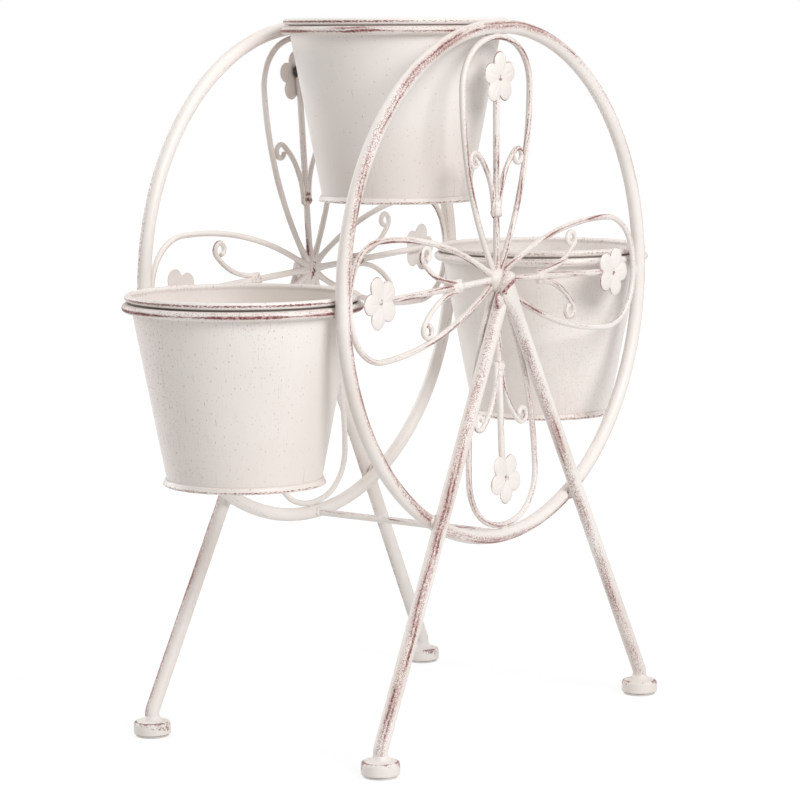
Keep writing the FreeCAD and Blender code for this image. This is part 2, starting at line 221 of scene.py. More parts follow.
def in_wheel(angle):
    """Where a quarter's piece goes on the front wheel: tilted to the dish and turned to its angle."""
    tilt = Matrix.Rotation(-math.atan(DISH / HOOP_RADIUS), 4, "Z")
    turn = Matrix.Rotation(math.radians(angle), 4, OUTWARD)
    place = Matrix.Translation((0, -WHEEL_SPACING / 2, HOOP_HEIGHT + HUB_RISE))
    return place @ turn @ Matrix.Translation(AXIS_Y * DISH) @ tilt


MIRROR_Y = Matrix.Diagonal((1, -1, 1, 1))
MIRROR_X = Matrix.Diagonal((-1, 1, 1, 1))


# ---- Surfaces ----


class Surface:
    """Gathers one piece's skin. Each face corner has a place in the wear map, in millimetres along the
    piece and away from its worn line, and each point says how worn it is; on pots and feet, levels above 1.2
    mark painted shade."""

    def __init__(self):
        self.points = []
        self.wear_and_shade = []
        self.faces = []
        self.places = []

    def grid(self, rows, place, worn, joined=False):
        """A sheet through equal rows of points, closed around each, and joined last to first if so told."""
        first = len(self.points)
        count = len(rows[0])
        for i, row in enumerate(rows):
            for j, point in enumerate(row):
                self.points.append(point.copy())
                self.wear_and_shade.append(worn(i, j))
        for i in range(len(rows) if joined else len(rows) - 1):
            for j in range(count):
                near, far = first + i * count, first + ((i + 1) % len(rows)) * count
                k = (j + 1) % count
                self.faces.append((near + j, near + k, far + k, far + j))
                self.places.append((place(i, j), place(i, j + 1), place(i + 1, j + 1), place(i + 1, j)))
        return first

    def lid(self, first, count, place, flipped=False):
        """A flat face over a row of points."""
        ring = list(range(first, first + count))
        if flipped:
            ring.reverse()
        self.faces.append(tuple(ring))
        self.places.append(tuple(place for _ in ring))

    def wire(self, path, facing, diameter, worn=0.5, line=0.0, swell=None, closed=False, ends=(True, True)):
        """A round wire along a path that is square to facing. worn and line may be functions of the share of
        its length: how worn it is, and at how many degrees from facing its worn line runs."""
        sides = WIRE_SIDES
        radius = diameter / 2
        last = len(path) - 1
        frames = []
        run = [0.0]
        for i, point in enumerate(path):
            before = point - path[i - 1] if closed or i > 0 else path[1] - point
            after = path[(i + 1) % len(path)] - point if closed or i < last else before
            along = (before.normalized() + after.normalized()).normalized()
            frames.append((point, along, along.cross(facing), radius * (swell(i) if swell else 1.0)))
            if i < last:
                run.append(run[-1] + (path[i + 1] - point).length)
        if closed:
            run.append(run[-1] + (path[0] - path[-1]).length)
        marks = list(run)
        if not closed:
            if ends[1]:
                point, along, across, size = frames[-1]
                for push, share in WIRE_NOSE:
                    frames.append((point + along * (size * push * 0.5), along, across, size * share))
                    marks.append(marks[-1] + NOSE_MARK)
            if ends[0]:
                point, along, across, size = frames[0]
                for push, share in WIRE_NOSE:
                    frames.insert(0, (point - along * (size * push * 0.5), along, across, size * share))
                    marks.insert(0, marks[0] - NOSE_MARK)
        total = run[-1]
        rows = []
        for point, along, across, size in frames:
            row = []
            for j in range(sides):
                angle = 2 * math.pi * j / sides
                row.append(point + facing * (size * math.cos(angle)) + across * (size * math.sin(angle)))
            rows.append(row)

        def share_at(i):
            return min(1.0, max(0.0, marks[min(i, len(marks) - 1)] / total))

        def place(i, j):
            shift = line(share_at(i)) if callable(line) else line
            away = (360 * j / sides - shift + 180) % 360 - 180
            if j == sides and abs(away + 180) < 1e-6:
                away = 180
            return marks[min(i, len(marks) - 1)], math.radians(away) * radius

        def level(i, j):
            return worn(share_at(i)) if callable(worn) else worn

        first = self.grid(rows, place, level, joined=closed)
        if not closed:
            self.lid(first, sides, (marks[0], 0.0), flipped=True)
            self.lid(first + (len(rows) - 1) * sides, sides, (marks[-1], 0.0))

    def bead(self, centre, size, worn, rough=0.12, seed=0.0):
        """A lump of weld with the half sizes size along X, Y and Z, uneven by the share rough."""
        rings, count = BEAD_RINGS, BEAD_SIDES
        rows = []
        for i in range(rings + 1):
            tilt = math.pi * (0.02 + 0.96 * i / rings)
            row = []
            for j in range(count):
                turn = 2 * math.pi * j / count
                across = math.sin(tilt)
                unit = Vector((across * math.cos(turn), across * math.sin(turn), math.cos(tilt)))
                lump = 1 + rough * noise.noise(unit * 1.9 + Vector((seed, centre.x * 0.3, centre.z * 0.3)))
                offset = Vector((unit.x * size[0], unit.y * size[1], unit.z * size[2]))
                row.append(centre + offset * lump)
            rows.append(row)

        def place(i, j):
            return 1.3 * i, 0.6 * (j - count / 2)

        first = self.grid(rows, place, lambda i, j: worn)
        self.lid(first, count, (0.0, 0.0), flipped=True)
        self.lid(first + rings * count, count, (0.0, 0.0))

    def turned(self, outline, worn, steps=TURNED_STEPS):
        """A skin turned round Z from (radius, height) corners. worn has a value for each corner, or is a
        function of the corner and the turn."""
        rows = []
        run = [0.0]
        for i in range(1, len(outline)):
            run.append(run[-1] + math.dist(outline[i - 1], outline[i]))
        turns = [2 * math.pi * j / steps for j in range(steps)]
        for radius, height in outline:
            row = [Vector((radius * math.cos(turn), radius * math.sin(turn), height)) for turn in turns]
            rows.append(row)
        middle = max(radius for radius, height in outline)

        def place(i, j):
            return 2 * math.pi * middle * j / steps, run[i]

        def level(i, j):
            return worn(i, j / steps) if callable(worn) else worn[i]

        self.grid(rows, place, level)

    def moved(self, matrix):
        """The same skin in another place, turned right side out if the move mirrors it."""
        copy = Surface()
        copy.points = [matrix @ point for point in self.points]
        copy.wear_and_shade = list(self.wear_and_shade)
        copy.faces = list(self.faces)
        copy.places = list(self.places)
        if matrix.determinant() < 0:
            copy.faces = [face[::-1] for face in copy.faces]
            copy.places = [places[::-1] for places in copy.places]
        return copy

    def piece(self, name, body, slot, material, node=None):
        """Makes the Blender object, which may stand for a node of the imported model."""
        mesh = bpy.data.meshes.new(name)
        mesh.from_pydata([point * MM for point in self.points], [], self.faces)
        wear_map = mesh.uv_layers.new(name="wear_map")
        corners = [corner for places in self.places for corner in places]
        for loop, (along, away) in zip(wear_map.data, corners):
            loop.uv = (along * MM, away * MM)
        wear_and_shade = mesh.attributes.new("wear_and_shade", "FLOAT", "POINT")
        wear_and_shade.data.foreach_set("value", self.wear_and_shade)
        mesh.materials.append(material)
        for polygon in mesh.polygons:
            polygon.use_smooth = len(polygon.vertices) == 4
        mesh.validate()
        made = bpy.data.objects.new(name, mesh)
        bpy.context.scene.collection.objects.link(made)
        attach(made, body)
        if node:
            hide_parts(node)


# ---- Materials ----


class Nodes:
    """The nodes of a material or a world, made one after the other from left to right."""

    def __init__(self, owner):
        self.owner = owner
        owner.use_nodes = True
        self.tree = owner.node_tree
        self.tree.nodes.clear()

    def node(self, kind, inputs=(), **settings):
        made = self.tree.nodes.new(kind)
        made.location = (180 * len(self.tree.nodes), 0)
        for name, value in settings.items():
            setattr(made, name, value)
        for key, value in dict(inputs).items():
            if isinstance(value, bpy.types.NodeSocket):
                self.tree.links.new(value, made.inputs[key])
            else:
                made.inputs[key].default_value = value
        return made

    def math(self, operation, *values, clamp=False):
        made = self.node("ShaderNodeMath", enumerate(values), operation=operation, use_clamp=clamp)
        return made.outputs[0]

    def ramp(self, value, low, high, to_low=0.0, to_high=1.0):
        inputs = {"Value": value, "From Min": low, "From Max": high, "To Min": to_low, "To Max": to_high}
        return self.node("ShaderNodeMapRange", inputs, interpolation_type="SMOOTHSTEP").outputs["Result"]

    def noise(self, vector, scale, detail=2.0, roughness=0.5):
        inputs = {"Vector": vector, "Scale": scale, "Detail": detail, "Roughness": roughness}
        return self.node("ShaderNodeTexNoise", inputs).outputs["Fac"]

    def stretched(self, vector, along, away):
        inputs = {"Vector": vector, "Scale": (along, away, 1.0)}
        return self.node("ShaderNodeMapping", inputs).outputs["Vector"]

    def slanted(self, vector, along, away, slant):
        inputs = {"Vector": vector, "Rotation": (0, 0, slant), "Scale": (1 / along, 1 / away, 1.0)}
        return self.node("ShaderNodeMapping", inputs, vector_type="TEXTURE").outputs["Vector"]

    def mix(self, share, first, second):
        made = self.node("ShaderNodeMix", data_type="RGBA")
        for socket, value in zip((made.inputs[0], made.inputs[6], made.inputs[7]), (share, first, second)):
            if isinstance(value, bpy.types.NodeSocket):
                self.tree.links.new(value, socket)
            else:
                socket.default_value = value
        return made.outputs[2]

    def seen(self):
        """1 for the rays that show the background: the camera's, and those of reflections and glass."""
        rays = self.node("ShaderNodeLightPath").outputs
        seen = self.math("MAXIMUM", rays["Is Camera Ray"], rays["Is Glossy Ray"])
        return self.math("MAXIMUM", seen, rays["Is Transmission Ray"])

    def place(self):
        return self.node("ShaderNodeTexCoord").outputs["Object"]

    def wear_map(self):
        return self.node("ShaderNodeUVMap", uv_map="wear_map").outputs["UV"]

    def wear_and_shade(self):
        return self.node("ShaderNodeAttribute", attribute_name="wear_and_shade").outputs["Fac"]

    def paint(self, mask, dark, bump_scale=700.0, tone_scale=9.0, bump_strength=0.12, gloss=0.42, gap_shade=None):
        """Cream paint rubbed down to maroon by mask, with its deepest spots by dark, and darkened by the last
        argument as painted shade in gaps and grooves.
        """
        position = self.place()
        tone = self.ramp(self.noise(position, tone_scale, 3.0), 0.35, 0.7)
        cream = self.mix(tone, CREAM, CREAM_DEEP)
        rust = self.mix(dark, MAROON_PALE, MAROON)
        colour = self.mix(mask, cream, rust)
        # painted shade: gaps and grooves darkened towards a dark brown
        if gap_shade:
            colour = self.mix(gap_shade, colour, GAP_SHADE_COLOUR)
        grain = self.noise(position, bump_scale, 3.0, 0.6)
        height = self.math("SUBTRACT", grain, self.math("MULTIPLY", mask, 0.8))
        bump_inputs = {"Strength": bump_strength, "Distance": 0.0004, "Height": height}
        bump = self.node("ShaderNodeBump", bump_inputs)
        smooth = self.ramp(grain, 0.3, 0.7, gloss, gloss + 0.1)
        roughness = self.math("ADD", self.math("MULTIPLY", mask, 0.25), smooth)
        shader_inputs = {"Base Color": colour, "Roughness": roughness, "Normal": bump.outputs["Normal"]}
        shader = self.node("ShaderNodeBsdfPrincipled", shader_inputs)
        shader.inputs["Specular IOR Level"].default_value = 0.45
        self.node("ShaderNodeOutputMaterial", {"Surface": shader.outputs["BSDF"]})
        return self.owner


def wire_paint(name, line_from, spots_from, spots_share):
    """Paint on wires, tubes and welds: two thin broken rubbed lines along each one, with a paler strip
    between them, and stippled spots. Wear above 1 leaves only the first line, and makes it broad."""
    nodes = Nodes(bpy.data.materials.new(name))
    position = nodes.place()
    wear_map = nodes.wear_map()
    wear_and_shade = nodes.wear_and_shade()
    away = nodes.node("ShaderNodeSeparateXYZ", {"Vector": wear_map}).outputs["Y"]
    patch = nodes.noise(position, 26.0, 2.0)
    shifted = nodes.node("ShaderNodeMapping", {"Vector": position, "Location": (3.0, 1.0, 2.0)}).outputs[0]
    other_patch = nodes.noise(shifted, 34.0, 2.0)
    first_patch = nodes.math("ADD", patch, nodes.ramp(wear_and_shade, 1.2, 1.5, 0.0, 0.35))
    broken = nodes.noise(nodes.stretched(wear_map, 460.0, 1900.0), 1.0, 3.0, 0.75)
    grain = nodes.noise(position, 1100.0, 1.0)
    slow = nodes.noise(nodes.stretched(wear_map, 17.0, 0.0), 1.0, 1.0, 0.5)
    wander = nodes.ramp(slow, 0.3, 0.7, -LINE_WANDER, LINE_WANDER)
    fast = nodes.noise(nodes.stretched(wear_map, 330.0, 0.0), 1.0, 2.0, 0.6)
    jitter = nodes.ramp(fast, 0.3, 0.7, -LINE_JITTER, LINE_JITTER)
    single = nodes.ramp(wear_and_shade, 1.05, 1.2, 1.0, 0.0)
    level = nodes.math("MINIMUM", wear_and_shade, 1.0)
    away = nodes.math("ADD", nodes.math("ADD", away, nodes.math("MULTIPLY", wander, single)), jitter)
    lines = []
    for offset, here in ((0.0, first_patch), (SECOND_LINE, other_patch)):
        off_line = nodes.math("ABSOLUTE", nodes.math("ADD", away, offset))
        width = nodes.ramp(here, 0.36, 0.68, LINE_THIN, LINE_BROAD)
        width = nodes.math("MULTIPLY", width, nodes.ramp(wear_and_shade, 0.0, 1.5, 0.6, 2.0))
        line = nodes.ramp(nodes.math("DIVIDE", off_line, width), 0.5, 1.5, 1.0, 0.0)
        amount = nodes.math("ADD", nodes.math("MULTIPLY", here, 0.95), nodes.math("MULTIPLY", broken, 1.5))
        amount = nodes.math("ADD", amount, nodes.math("MULTIPLY", wear_and_shade, 0.27))
        lines.append(nodes.math("MULTIPLY", line, nodes.ramp(amount, line_from, line_from + 0.12)))
    lines = nodes.math("MAXIMUM", lines[0], nodes.math("MULTIPLY", lines[1], single))
    off_strip = nodes.math("ABSOLUTE", nodes.math("ADD", away, STRIP_MIDDLE))
    strip = nodes.ramp(off_strip, 0.0009, 0.0022, 1.0, 0.0)
    strip_patch = nodes.math("ADD", patch, nodes.math("MULTIPLY", wear_and_shade, 0.2))
    strip = nodes.math("MULTIPLY", strip, nodes.ramp(strip_patch, 0.5, 0.75))
    strip = nodes.math("MULTIPLY", strip, single)
    strip = nodes.math("MULTIPLY", strip, nodes.ramp(broken, 0.35, 0.65, 0.05, 0.28))
    near_line = nodes.ramp(off_strip, 0.0018, 0.006, 1.0, 0.0)
    spots = nodes.math("ADD", grain, nodes.math("MULTIPLY", patch, 0.36))
    spots = nodes.math("ADD", spots, nodes.math("MULTIPLY", level, 0.13))
    spots = nodes.ramp(spots, spots_from, spots_from + 0.05)
    spots = nodes.math("MULTIPLY", spots, nodes.math("MULTIPLY", near_line, spots_share))
    mask = nodes.math("MAXIMUM", nodes.math("MAXIMUM", lines, strip), spots, clamp=True)
    dark = nodes.math("MAXIMUM", lines, nodes.math("MULTIPLY", spots, 0.6))
    dark = nodes.math("MULTIPLY", nodes.ramp(nodes.noise(position, 520.0, 2.0), 0.34, 0.56), dark)
    return nodes.paint(mask, dark)


def flower_paint():
    """Paint on the pressed flowers: the wear map's second value is the distance in from the edge."""
    nodes = Nodes(bpy.data.materials.new("flower_paint"))
    position = nodes.place()
    wear_map = nodes.wear_map()
    wear_and_shade = nodes.wear_and_shade()
    parts = nodes.node("ShaderNodeSeparateXYZ", {"Vector": wear_map}).outputs
    patch = nodes.noise(position, 60.0, 2.0)
    grain = nodes.noise(position, 700.0, 3.0, 0.6)
    edge_width = nodes.ramp(patch, 0.4, 0.7, 0.0001, 0.0006)
    edge = nodes.ramp(nodes.math("DIVIDE", parts["Y"], edge_width), 0.5, 1.4, 1.0, 0.0)
    edge = nodes.math("MULTIPLY", edge, nodes.ramp(nodes.math("ADD", grain, patch), 0.88, 1.02))
    middle = nodes.ramp(parts["X"], 0.0015, 0.0038, 1.0, 0.0)
    dots = nodes.math("MULTIPLY", middle, nodes.ramp(nodes.noise(position, 420.0, 2.0), 0.47, 0.56))
    mask = nodes.math("MULTIPLY", nodes.math("MAXIMUM", edge, dots, clamp=True), wear_and_shade)
    dark = nodes.ramp(nodes.noise(position, 500.0, 2.0), 0.35, 0.6)
    return nodes.paint(mask, dark)


def pot_paint():
    """Paint on the pots: upright scratches and specks, rubbed rims and base edges, and painted shade in the
    gap under the rim.
    """
    nodes = Nodes(bpy.data.materials.new("pot_paint"))
    position = nodes.place()
    wear_map = nodes.wear_map()
    wear_and_shade = nodes.wear_and_shade()
    patch = nodes.noise(nodes.stretched(position, 7.0, 7.0), 1.0, 2.0)
    scratch = nodes.noise(nodes.stretched(wear_map, 800.0, 40.0), 1.0, 3.0, 0.65)
    scratch = nodes.math("ADD", scratch, nodes.math("MULTIPLY", patch, 0.5))
    scratched = nodes.math("MULTIPLY", nodes.ramp(scratch, 0.8, 1.02), 0.34)
    deep = nodes.noise(nodes.slanted(wear_map, 420.0, 30.0, 0.14), 1.0, 1.0)
    deep = nodes.math("MULTIPLY", nodes.ramp(deep, 0.745, 0.79), 0.75)
    speck = nodes.noise(nodes.stretched(wear_map, 620.0, 380.0), 1.0, 1.0)
    speck = nodes.math("ADD", speck, nodes.math("MULTIPLY", patch, 0.34))
    specks = nodes.math("MULTIPLY", nodes.ramp(speck, 0.835, 0.90), 0.75)
    body = nodes.math("MAXIMUM", nodes.math("MAXIMUM", scratched, deep), specks)
    body = nodes.math("MULTIPLY", body, nodes.ramp(wear_and_shade, 0.0, WALL_WEAR, 0.35, 1.0))
    edge_noise = nodes.noise(nodes.stretched(wear_map, 420.0, 1100.0), 1.0, 3.0, 0.7)
    edge_patch = nodes.noise(nodes.stretched(wear_map, 14.0, 0.0), 1.0, 1.0)
    edge = nodes.math("ADD", nodes.math("MULTIPLY", edge_noise, 1.3), nodes.math("MULTIPLY", edge_patch, 0.5))
    edge = nodes.ramp(nodes.math("ADD", edge, nodes.math("MULTIPLY", wear_and_shade, 0.5)), 1.3, 1.45)
    # keeps the rubbed edge out of the painted-shade band under the rim
    edge = nodes.math("MULTIPLY", edge, nodes.ramp(wear_and_shade, 1.22, 1.3, 1.0, 0.0))
    mask = nodes.math("MAXIMUM", body, edge, clamp=True)
    dark = nodes.math("MULTIPLY", nodes.ramp(nodes.noise(position, 420.0, 2.0), 0.3, 0.55), edge)
    # painted shade in the gap between the rim and the ring, from levels above 1.25
    gap_shade = nodes.ramp(wear_and_shade, 1.25, 1.6)
    looks = {"bump_scale": 450.0, "tone_scale": 5.0, "bump_strength": 0.07, "gloss": 0.36}
    return nodes.paint(mask, dark, gap_shade=gap_shade, **looks)


def foot_paint():
    """Paint on the feet: a broken dark line round each edge, rubbed patches below the upper one, and painted
    shade in the groove near the lower edge.
    """
    nodes = Nodes(bpy.data.materials.new("foot_paint"))
    position = nodes.place()
    wear_and_shade = nodes.wear_and_shade()
    patch = nodes.noise(position, 75.0, 2.0)
    grain = nodes.noise(position, 620.0, 3.0, 0.65)
    line = nodes.math("MULTIPLY", nodes.ramp(wear_and_shade, 0.84, 1.0), nodes.ramp(patch, 0.42, 0.52))
    worn = nodes.math("ADD", nodes.math("MULTIPLY", wear_and_shade, 0.28), nodes.math("MULTIPLY", patch, 0.75))
    spots = nodes.ramp(nodes.math("ADD", worn, nodes.math("MULTIPLY", grain, 0.6)), 0.9, 0.96)
    spots = nodes.math("MULTIPLY", spots, 0.8)
    mask = nodes.math("MAXIMUM", line, spots, clamp=True)
    dark = nodes.math("MAXIMUM", line, nodes.ramp(grain, 0.45, 0.6))
    # painted shade darkens the groove near the foot's lower edge
    return nodes.paint(mask, dark, gap_shade=nodes.ramp(wear_and_shade, 1.2, 1.5))


def tack_metal():
    """Bare dark weld behind the flowers."""
    nodes = Nodes(bpy.data.materials.new("tack_metal"))
    position = nodes.place()
    grain = nodes.noise(position, 800.0, 3.0, 0.6)
    colour = nodes.mix(nodes.ramp(grain, 0.5, 0.75, 0.0, 0.6), DARK_METAL, CREAM_DEEP)
    bump_inputs = {"Strength": 0.3, "Distance": 0.0004, "Height": grain}
    bump = nodes.node("ShaderNodeBump", bump_inputs)
    roughness = nodes.ramp(grain, 0.3, 0.7, 0.45, 0.7)
    inputs = {"Base Color": colour, "Roughness": roughness, "Normal": bump.outputs["Normal"]}
    shader = nodes.node("ShaderNodeBsdfPrincipled", inputs)
    nodes.node("ShaderNodeOutputMaterial", {"Surface": shader.outputs["BSDF"]})
    return nodes.owner


WIRE_PAINT = wire_paint("wire_paint", 1.33, 0.85, 0.7)
TUBE_PAINT = wire_paint("tube_paint", 1.4, 0.775, 0.85)
FLOWER_PAINT = flower_paint()
POT_PAINT = pot_paint()
FOOT_PAINT = foot_paint()
TACK_METAL = tack_metal()


# ---- Pieces of one quarter, along +X from the hub's centre with outward at -Y ----


def wavering(low, high, seed, pace=5.0):
    """A smooth uneven function of the share along a piece, between low and high."""

    def level(share):
        value = noise.noise(Vector((share * pace, seed * 7.3, 1.7))) * 0.9 + 0.5
        return low + (high - low) * min(1.0, max(0.0, value))

    return level


def rooted(path, roots, reach, extra):
    """How a wire swells towards the points where it is welded to the hub."""

    def swell(i):
        near = min((path[i] - root).length for root in roots)
        return 1 + extra * math.exp(-((near / reach) ** 2) * 2)

    return swell


def hoop_reach(radius, angle):
    """From the hub's centre at an angle out to a circle about the hoop's centre."""
    turn = math.radians(angle)
    return math.sqrt(radius**2 - (HUB_RISE * math.cos(turn)) ** 2) - HUB_RISE * math.sin(turn)


def petal(angle, worn, seed):
    """A loop of wire from the hub out to the hoop and back, with the weld at its tip."""
    tip = hoop_reach(HOOP_RADIUS - HOOP_TUBE / 2, angle) - 0.1 - PETAL_WIRE / 2
    setback = (PETAL_HALF_WIDTH - PETAL_CORNER_RADIUS) / math.sin(math.radians(PETAL_TIP_ANGLE))
    tip_centre = AXIS_X * (tip - PETAL_CORNER_RADIUS - setback)
    corner_centre = tip_centre + polar(setback, PETAL_TIP_ANGLE)
    corner = arc_about(corner_centre, PETAL_CORNER_RADIUS, PETAL_TIP_ANGLE, 90)
    root = polar(HUB_RADIUS * 0.55, PETAL_ROOT_ANGLE)
    upper = arc_into(root, corner[-1], AXIS_X)[:-1] + corner[::-1]
    lower = [mirrored_z(point) for point in upper]
    blunt = arc_about(tip_centre, PETAL_CORNER_RADIUS + setback, -PETAL_TIP_ANGLE, PETAL_TIP_ANGLE)
    path = lower + blunt[1:-1] + upper[::-1]
    skin = Surface()

    def level(share):
        return worn * wavering(0.2, 1.0, seed, 7.0)(share)

    swell = rooted(path, (path[0], path[-1]), 14.0, 0.5)
    skin.wire(path, OUTWARD, PETAL_WIRE, level, wavering(-60, 60, seed + 3, 4.0), swell)
    weld = AXIS_X * (tip + PETAL_WIRE / 2 + 0.6)
    skin.bead(weld, (2.6, 2.1, 5.0), worn * 0.9, seed=seed)
    return skin


def spoke(worn, seed):
    path = straight(AXIS_X * (HUB_RADIUS * 0.4), AXIS_X * (FLOWER_PLACE + SPOKE_OVERRUN))
    skin = Surface()
    level = wavering(0.3 * worn, worn, seed, 6.0)
    swell = rooted(path, (path[0],), 15.0, 0.55)
    skin.wire(path, OUTWARD, SPOKE_WIRE, level, wavering(-50, 50, seed + 5, 3.0), swell)
    return skin


def scroll_pair(place, worn, seed):
    """Two scrolls that curl away from the spoke, and the lumps of weld that are their collar."""
    curl_centre = Vector((place + CURL_ALONG, 0, CURL_ASIDE))
    curl = arc_about(curl_centre, CURL_RADIUS, CURL_START, CURL_END, CURL_END_RADIUS)
    root = Vector((place - 3.0, 0, (SPOKE_WIRE + SCROLL_WIRE) / 2 - 0.8))
    path = arc_into(root, curl[0], polar(1, CURL_START + 90)) + curl[1:]
    skin = Surface()
    lines = wavering(-70, 70, seed, 3.0)
    skin.wire(path, OUTWARD, SCROLL_WIRE, wavering(0.2 * worn, worn, seed, 4.0), lines)
    below = [mirrored_z(point) for point in path]
    skin.wire(below, OUTWARD, SCROLL_WIRE, wavering(0.2 * worn, worn, seed + 2, 4.0), lines)
    half = COLLAR_DIAMETER / 2
    skin.bead(AXIS_X * place, (COLLAR_LENGTH * 0.72, half * 0.86, half), worn, 0.3, seed=seed)
    skin.bead(AXIS_X * (place + 4.5), (5.5, half * 0.7, half * 0.8), worn, 0.3, seed=seed + 4)
    return skin


def flower(worn_front):
    """A pressed flower of domed lobes with a dimple, hollow behind, on the outer side of its spoke."""
    back = -SPOKE_WIRE / 2 + 0.2
    lobe_line = FLOWER_RADIUS - LOBE_RADIUS
    half = math.pi / FLOWER_LOBES
    steps, rings = FLOWER_STEPS, FLOWER_RINGS

    def share_of(i):
        return 0.02 + 0.98 * (i / rings) ** 0.85

    front_rows, back_rows, edges = [], [], []
    for i in range(rings + 1):
        share = share_of(i)
        front_row, back_row = [], []
        for step in range(steps):
            angle = 2 * math.pi * step / steps
            off_lobe = (angle + half) % (2 * half) - half
            sideways = lobe_line * math.sin(off_lobe)
            reach = lobe_line * math.cos(off_lobe) + math.sqrt(LOBE_RADIUS**2 - sideways**2)
            radius = reach * share
            along = radius * math.cos(off_lobe) - lobe_line
            aside = radius * math.sin(off_lobe)
            size = LOBE_RADIUS * (1.0 if along > 0 else 1.35)
            near = max(0.0, 1 - (along / size) ** 2 - (aside / LOBE_RADIUS) ** 2)
            dome = near**0.8
            crease = math.exp(-((aside / 0.9) ** 2)) * near * (1.0 if along < 2 else 0.3)
            height = 1.3 + 1.7 * dome - 0.55 * crease
            rounding = 0.5 * max(0.0, (share - 0.93) / 0.07) ** 2
            across = FLOWER_PLACE + radius * math.cos(angle)
            up = radius * math.sin(angle)
            front_row.append(Vector((across, back - height + rounding, up)))
            back_row.append(Vector((across, back - 0.9 * dome - 0.15, up)))
            if i == 0:
                edges.append(reach)
        front_rows.append(front_row)
        back_rows.append(back_row)

    def place(i, j):
        share = share_of(i)
        reach = edges[j % steps]
        return reach * share, reach * (1 - share)

    skin = Surface()
    first = skin.grid(front_rows, place, lambda i, j: worn_front)
    skin.lid(first, steps, (0.0, 10.0), flipped=True)
    between = []
    for front, behind in zip(front_rows[-1], back_rows[-1]):
        between.append(front.lerp(behind, 0.5) + (front - AXIS_X * FLOWER_PLACE) * 0.01)
    rim = [front_rows[-1], between, back_rows[-1]]
    skin.grid(rim, lambda i, j: (12.0, 0.9 * i), lambda i, j: worn_front)
    second = skin.grid(back_rows[::-1], lambda i, j: (12.0, 10.0), lambda i, j: 0.3)
    skin.lid(second + rings * steps, steps, (12.0, 10.0))
    return skin


def tack(seed):
    """The weld between a flower's back and its spoke's end."""
    skin = Surface()
    skin.bead(Vector((FLOWER_PLACE + SPOKE_OVERRUN, -0.6, 0.8)), (5.6, 2.3, 5.2), 0.6, 0.35, seed=seed)
    return skin


# ---- Pieces of a wheel and the legs, in place on the front one ----


def hub_lump(worn, seed):
    """The pool of weld where all the wires of a wheel meet."""
    skin = Surface()
    centre = Vector((0, DISH - WHEEL_SPACING / 2, HOOP_HEIGHT + HUB_RISE))
    skin.bead(centre, (HUB_RADIUS * 1.08, 4.7, HUB_RADIUS * 1.08), worn, 0.12, seed=seed)
    skin.bead(centre + Vector((-2.0, -2.6, -1.0)), (10.0, 5.6, 10.4), 0.0, 0.12, seed=seed + 1)
    return skin


def hoop(worn, line):
    centre = Vector((0, -WHEEL_SPACING / 2, HOOP_HEIGHT))
    path = [centre + polar(HOOP_RADIUS, 360 * i / HOOP_STEPS) for i in range(HOOP_STEPS)]
    skin = Surface()
    skin.wire(path, OUTWARD, HOOP_TUBE, worn, line, closed=True)
    return skin


def leg_line():
    """Top and lower corner of the right front leg's axis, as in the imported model."""
    rise = HUB_RISE - LEG_DROP
    drop = HOOP_HEIGHT + rise - FOOT_HEIGHT - LEG_UPRIGHT
    length = math.hypot(LEG_SPREAD, drop)
    level = rise * drop / length
    crossing = level + math.sqrt(HOOP_RADIUS**2 - rise**2 + level**2)
    slope = (LEG_AT_HOOP - LEG_AT_HUB) / (crossing + LEG_OVERLAP)
    top = Vector((0, -LEG_AT_HUB - slope * LEG_OVERLAP, HOOP_HEIGHT + rise))
    corner = Vector((LEG_SPREAD, top.y - slope * length, FOOT_HEIGHT + LEG_UPRIGHT))
    return top, corner, crossing


def leg(lapping, worn, line):
    """The right front leg. The lapping one runs on past the hub, and the other one's squashed end is welded
    over its outer side."""
    top, corner, crossing = leg_line()
    lean = (top - corner).normalized()
    turn = lean.angle(AXIS_Z)
    setback = BEND_RADIUS * math.tan(turn / 2)
    bend = arc_into(corner - AXIS_Z * setback, corner + lean * setback, lean)
    facing = AXIS_Z.cross(lean).normalized()
    past = LEG_OVERLAP if lapping else LEG_END
    foot_end = straight(corner - AXIS_Z * (LEG_UPRIGHT + 2), corner - AXIS_Z * setback, 1.5)
    path = foot_end[:-1] + bend + straight(corner + lean * setback, top + lean * past, 3.0)[1:]
    skin = Surface()
    skin.wire(path, facing, LEG_TUBE, worn, line, ends=(True, lapping))
    if not lapping:
        end = top + lean * past
        aside = lean.cross(AXIS_Y).normalized()
        for point in skin.points:
            offset = point - end
            part = min(1.0, max(0.0, 1 + offset.dot(lean) / SQUASH_LENGTH))
            part = part * part * (3 - 2 * part)
            away = (offset - lean * offset.dot(lean)).dot(OUTWARD)
            point += aside * ((offset.dot(aside) * SQUASH_WIDER + SQUASH_ASIDE) * part)
            point += OUTWARD * ((SQUASH_OUTWARD - away * SQUASH_FLATTER) * part)
        middle = end + OUTWARD * (SQUASH_OUTWARD + 1.0) + aside * SQUASH_ASIDE
        reach = aside * (LEG_TUBE / 2 * (1 + SQUASH_WIDER) - 1.0)
        skin.wire(straight(middle - reach, middle + reach, 1.0), OUTWARD, CREASE_WIRE, 1.5, 35.0)
        lower = middle - lean * 2.4
        lower_crease = straight(lower - reach * 0.3, lower + reach * 0.8, 1.0)
        skin.wire(lower_crease, OUTWARD, LOWER_CREASE_WIRE, 1.5, 0.0)
        skin.bead(middle + Vector((-6.0, 4.2, -11.0)), (5.5, 3.0, 6.5), 1.3, 0.35, seed=5.0)
    at_hoop = top - lean * crossing + AXIS_Y * (LEG_TUBE / 2)
    skin.bead(at_hoop, (6.5, 2.2, 5.5), 0.5, 0.3, seed=crossing)
    return skin


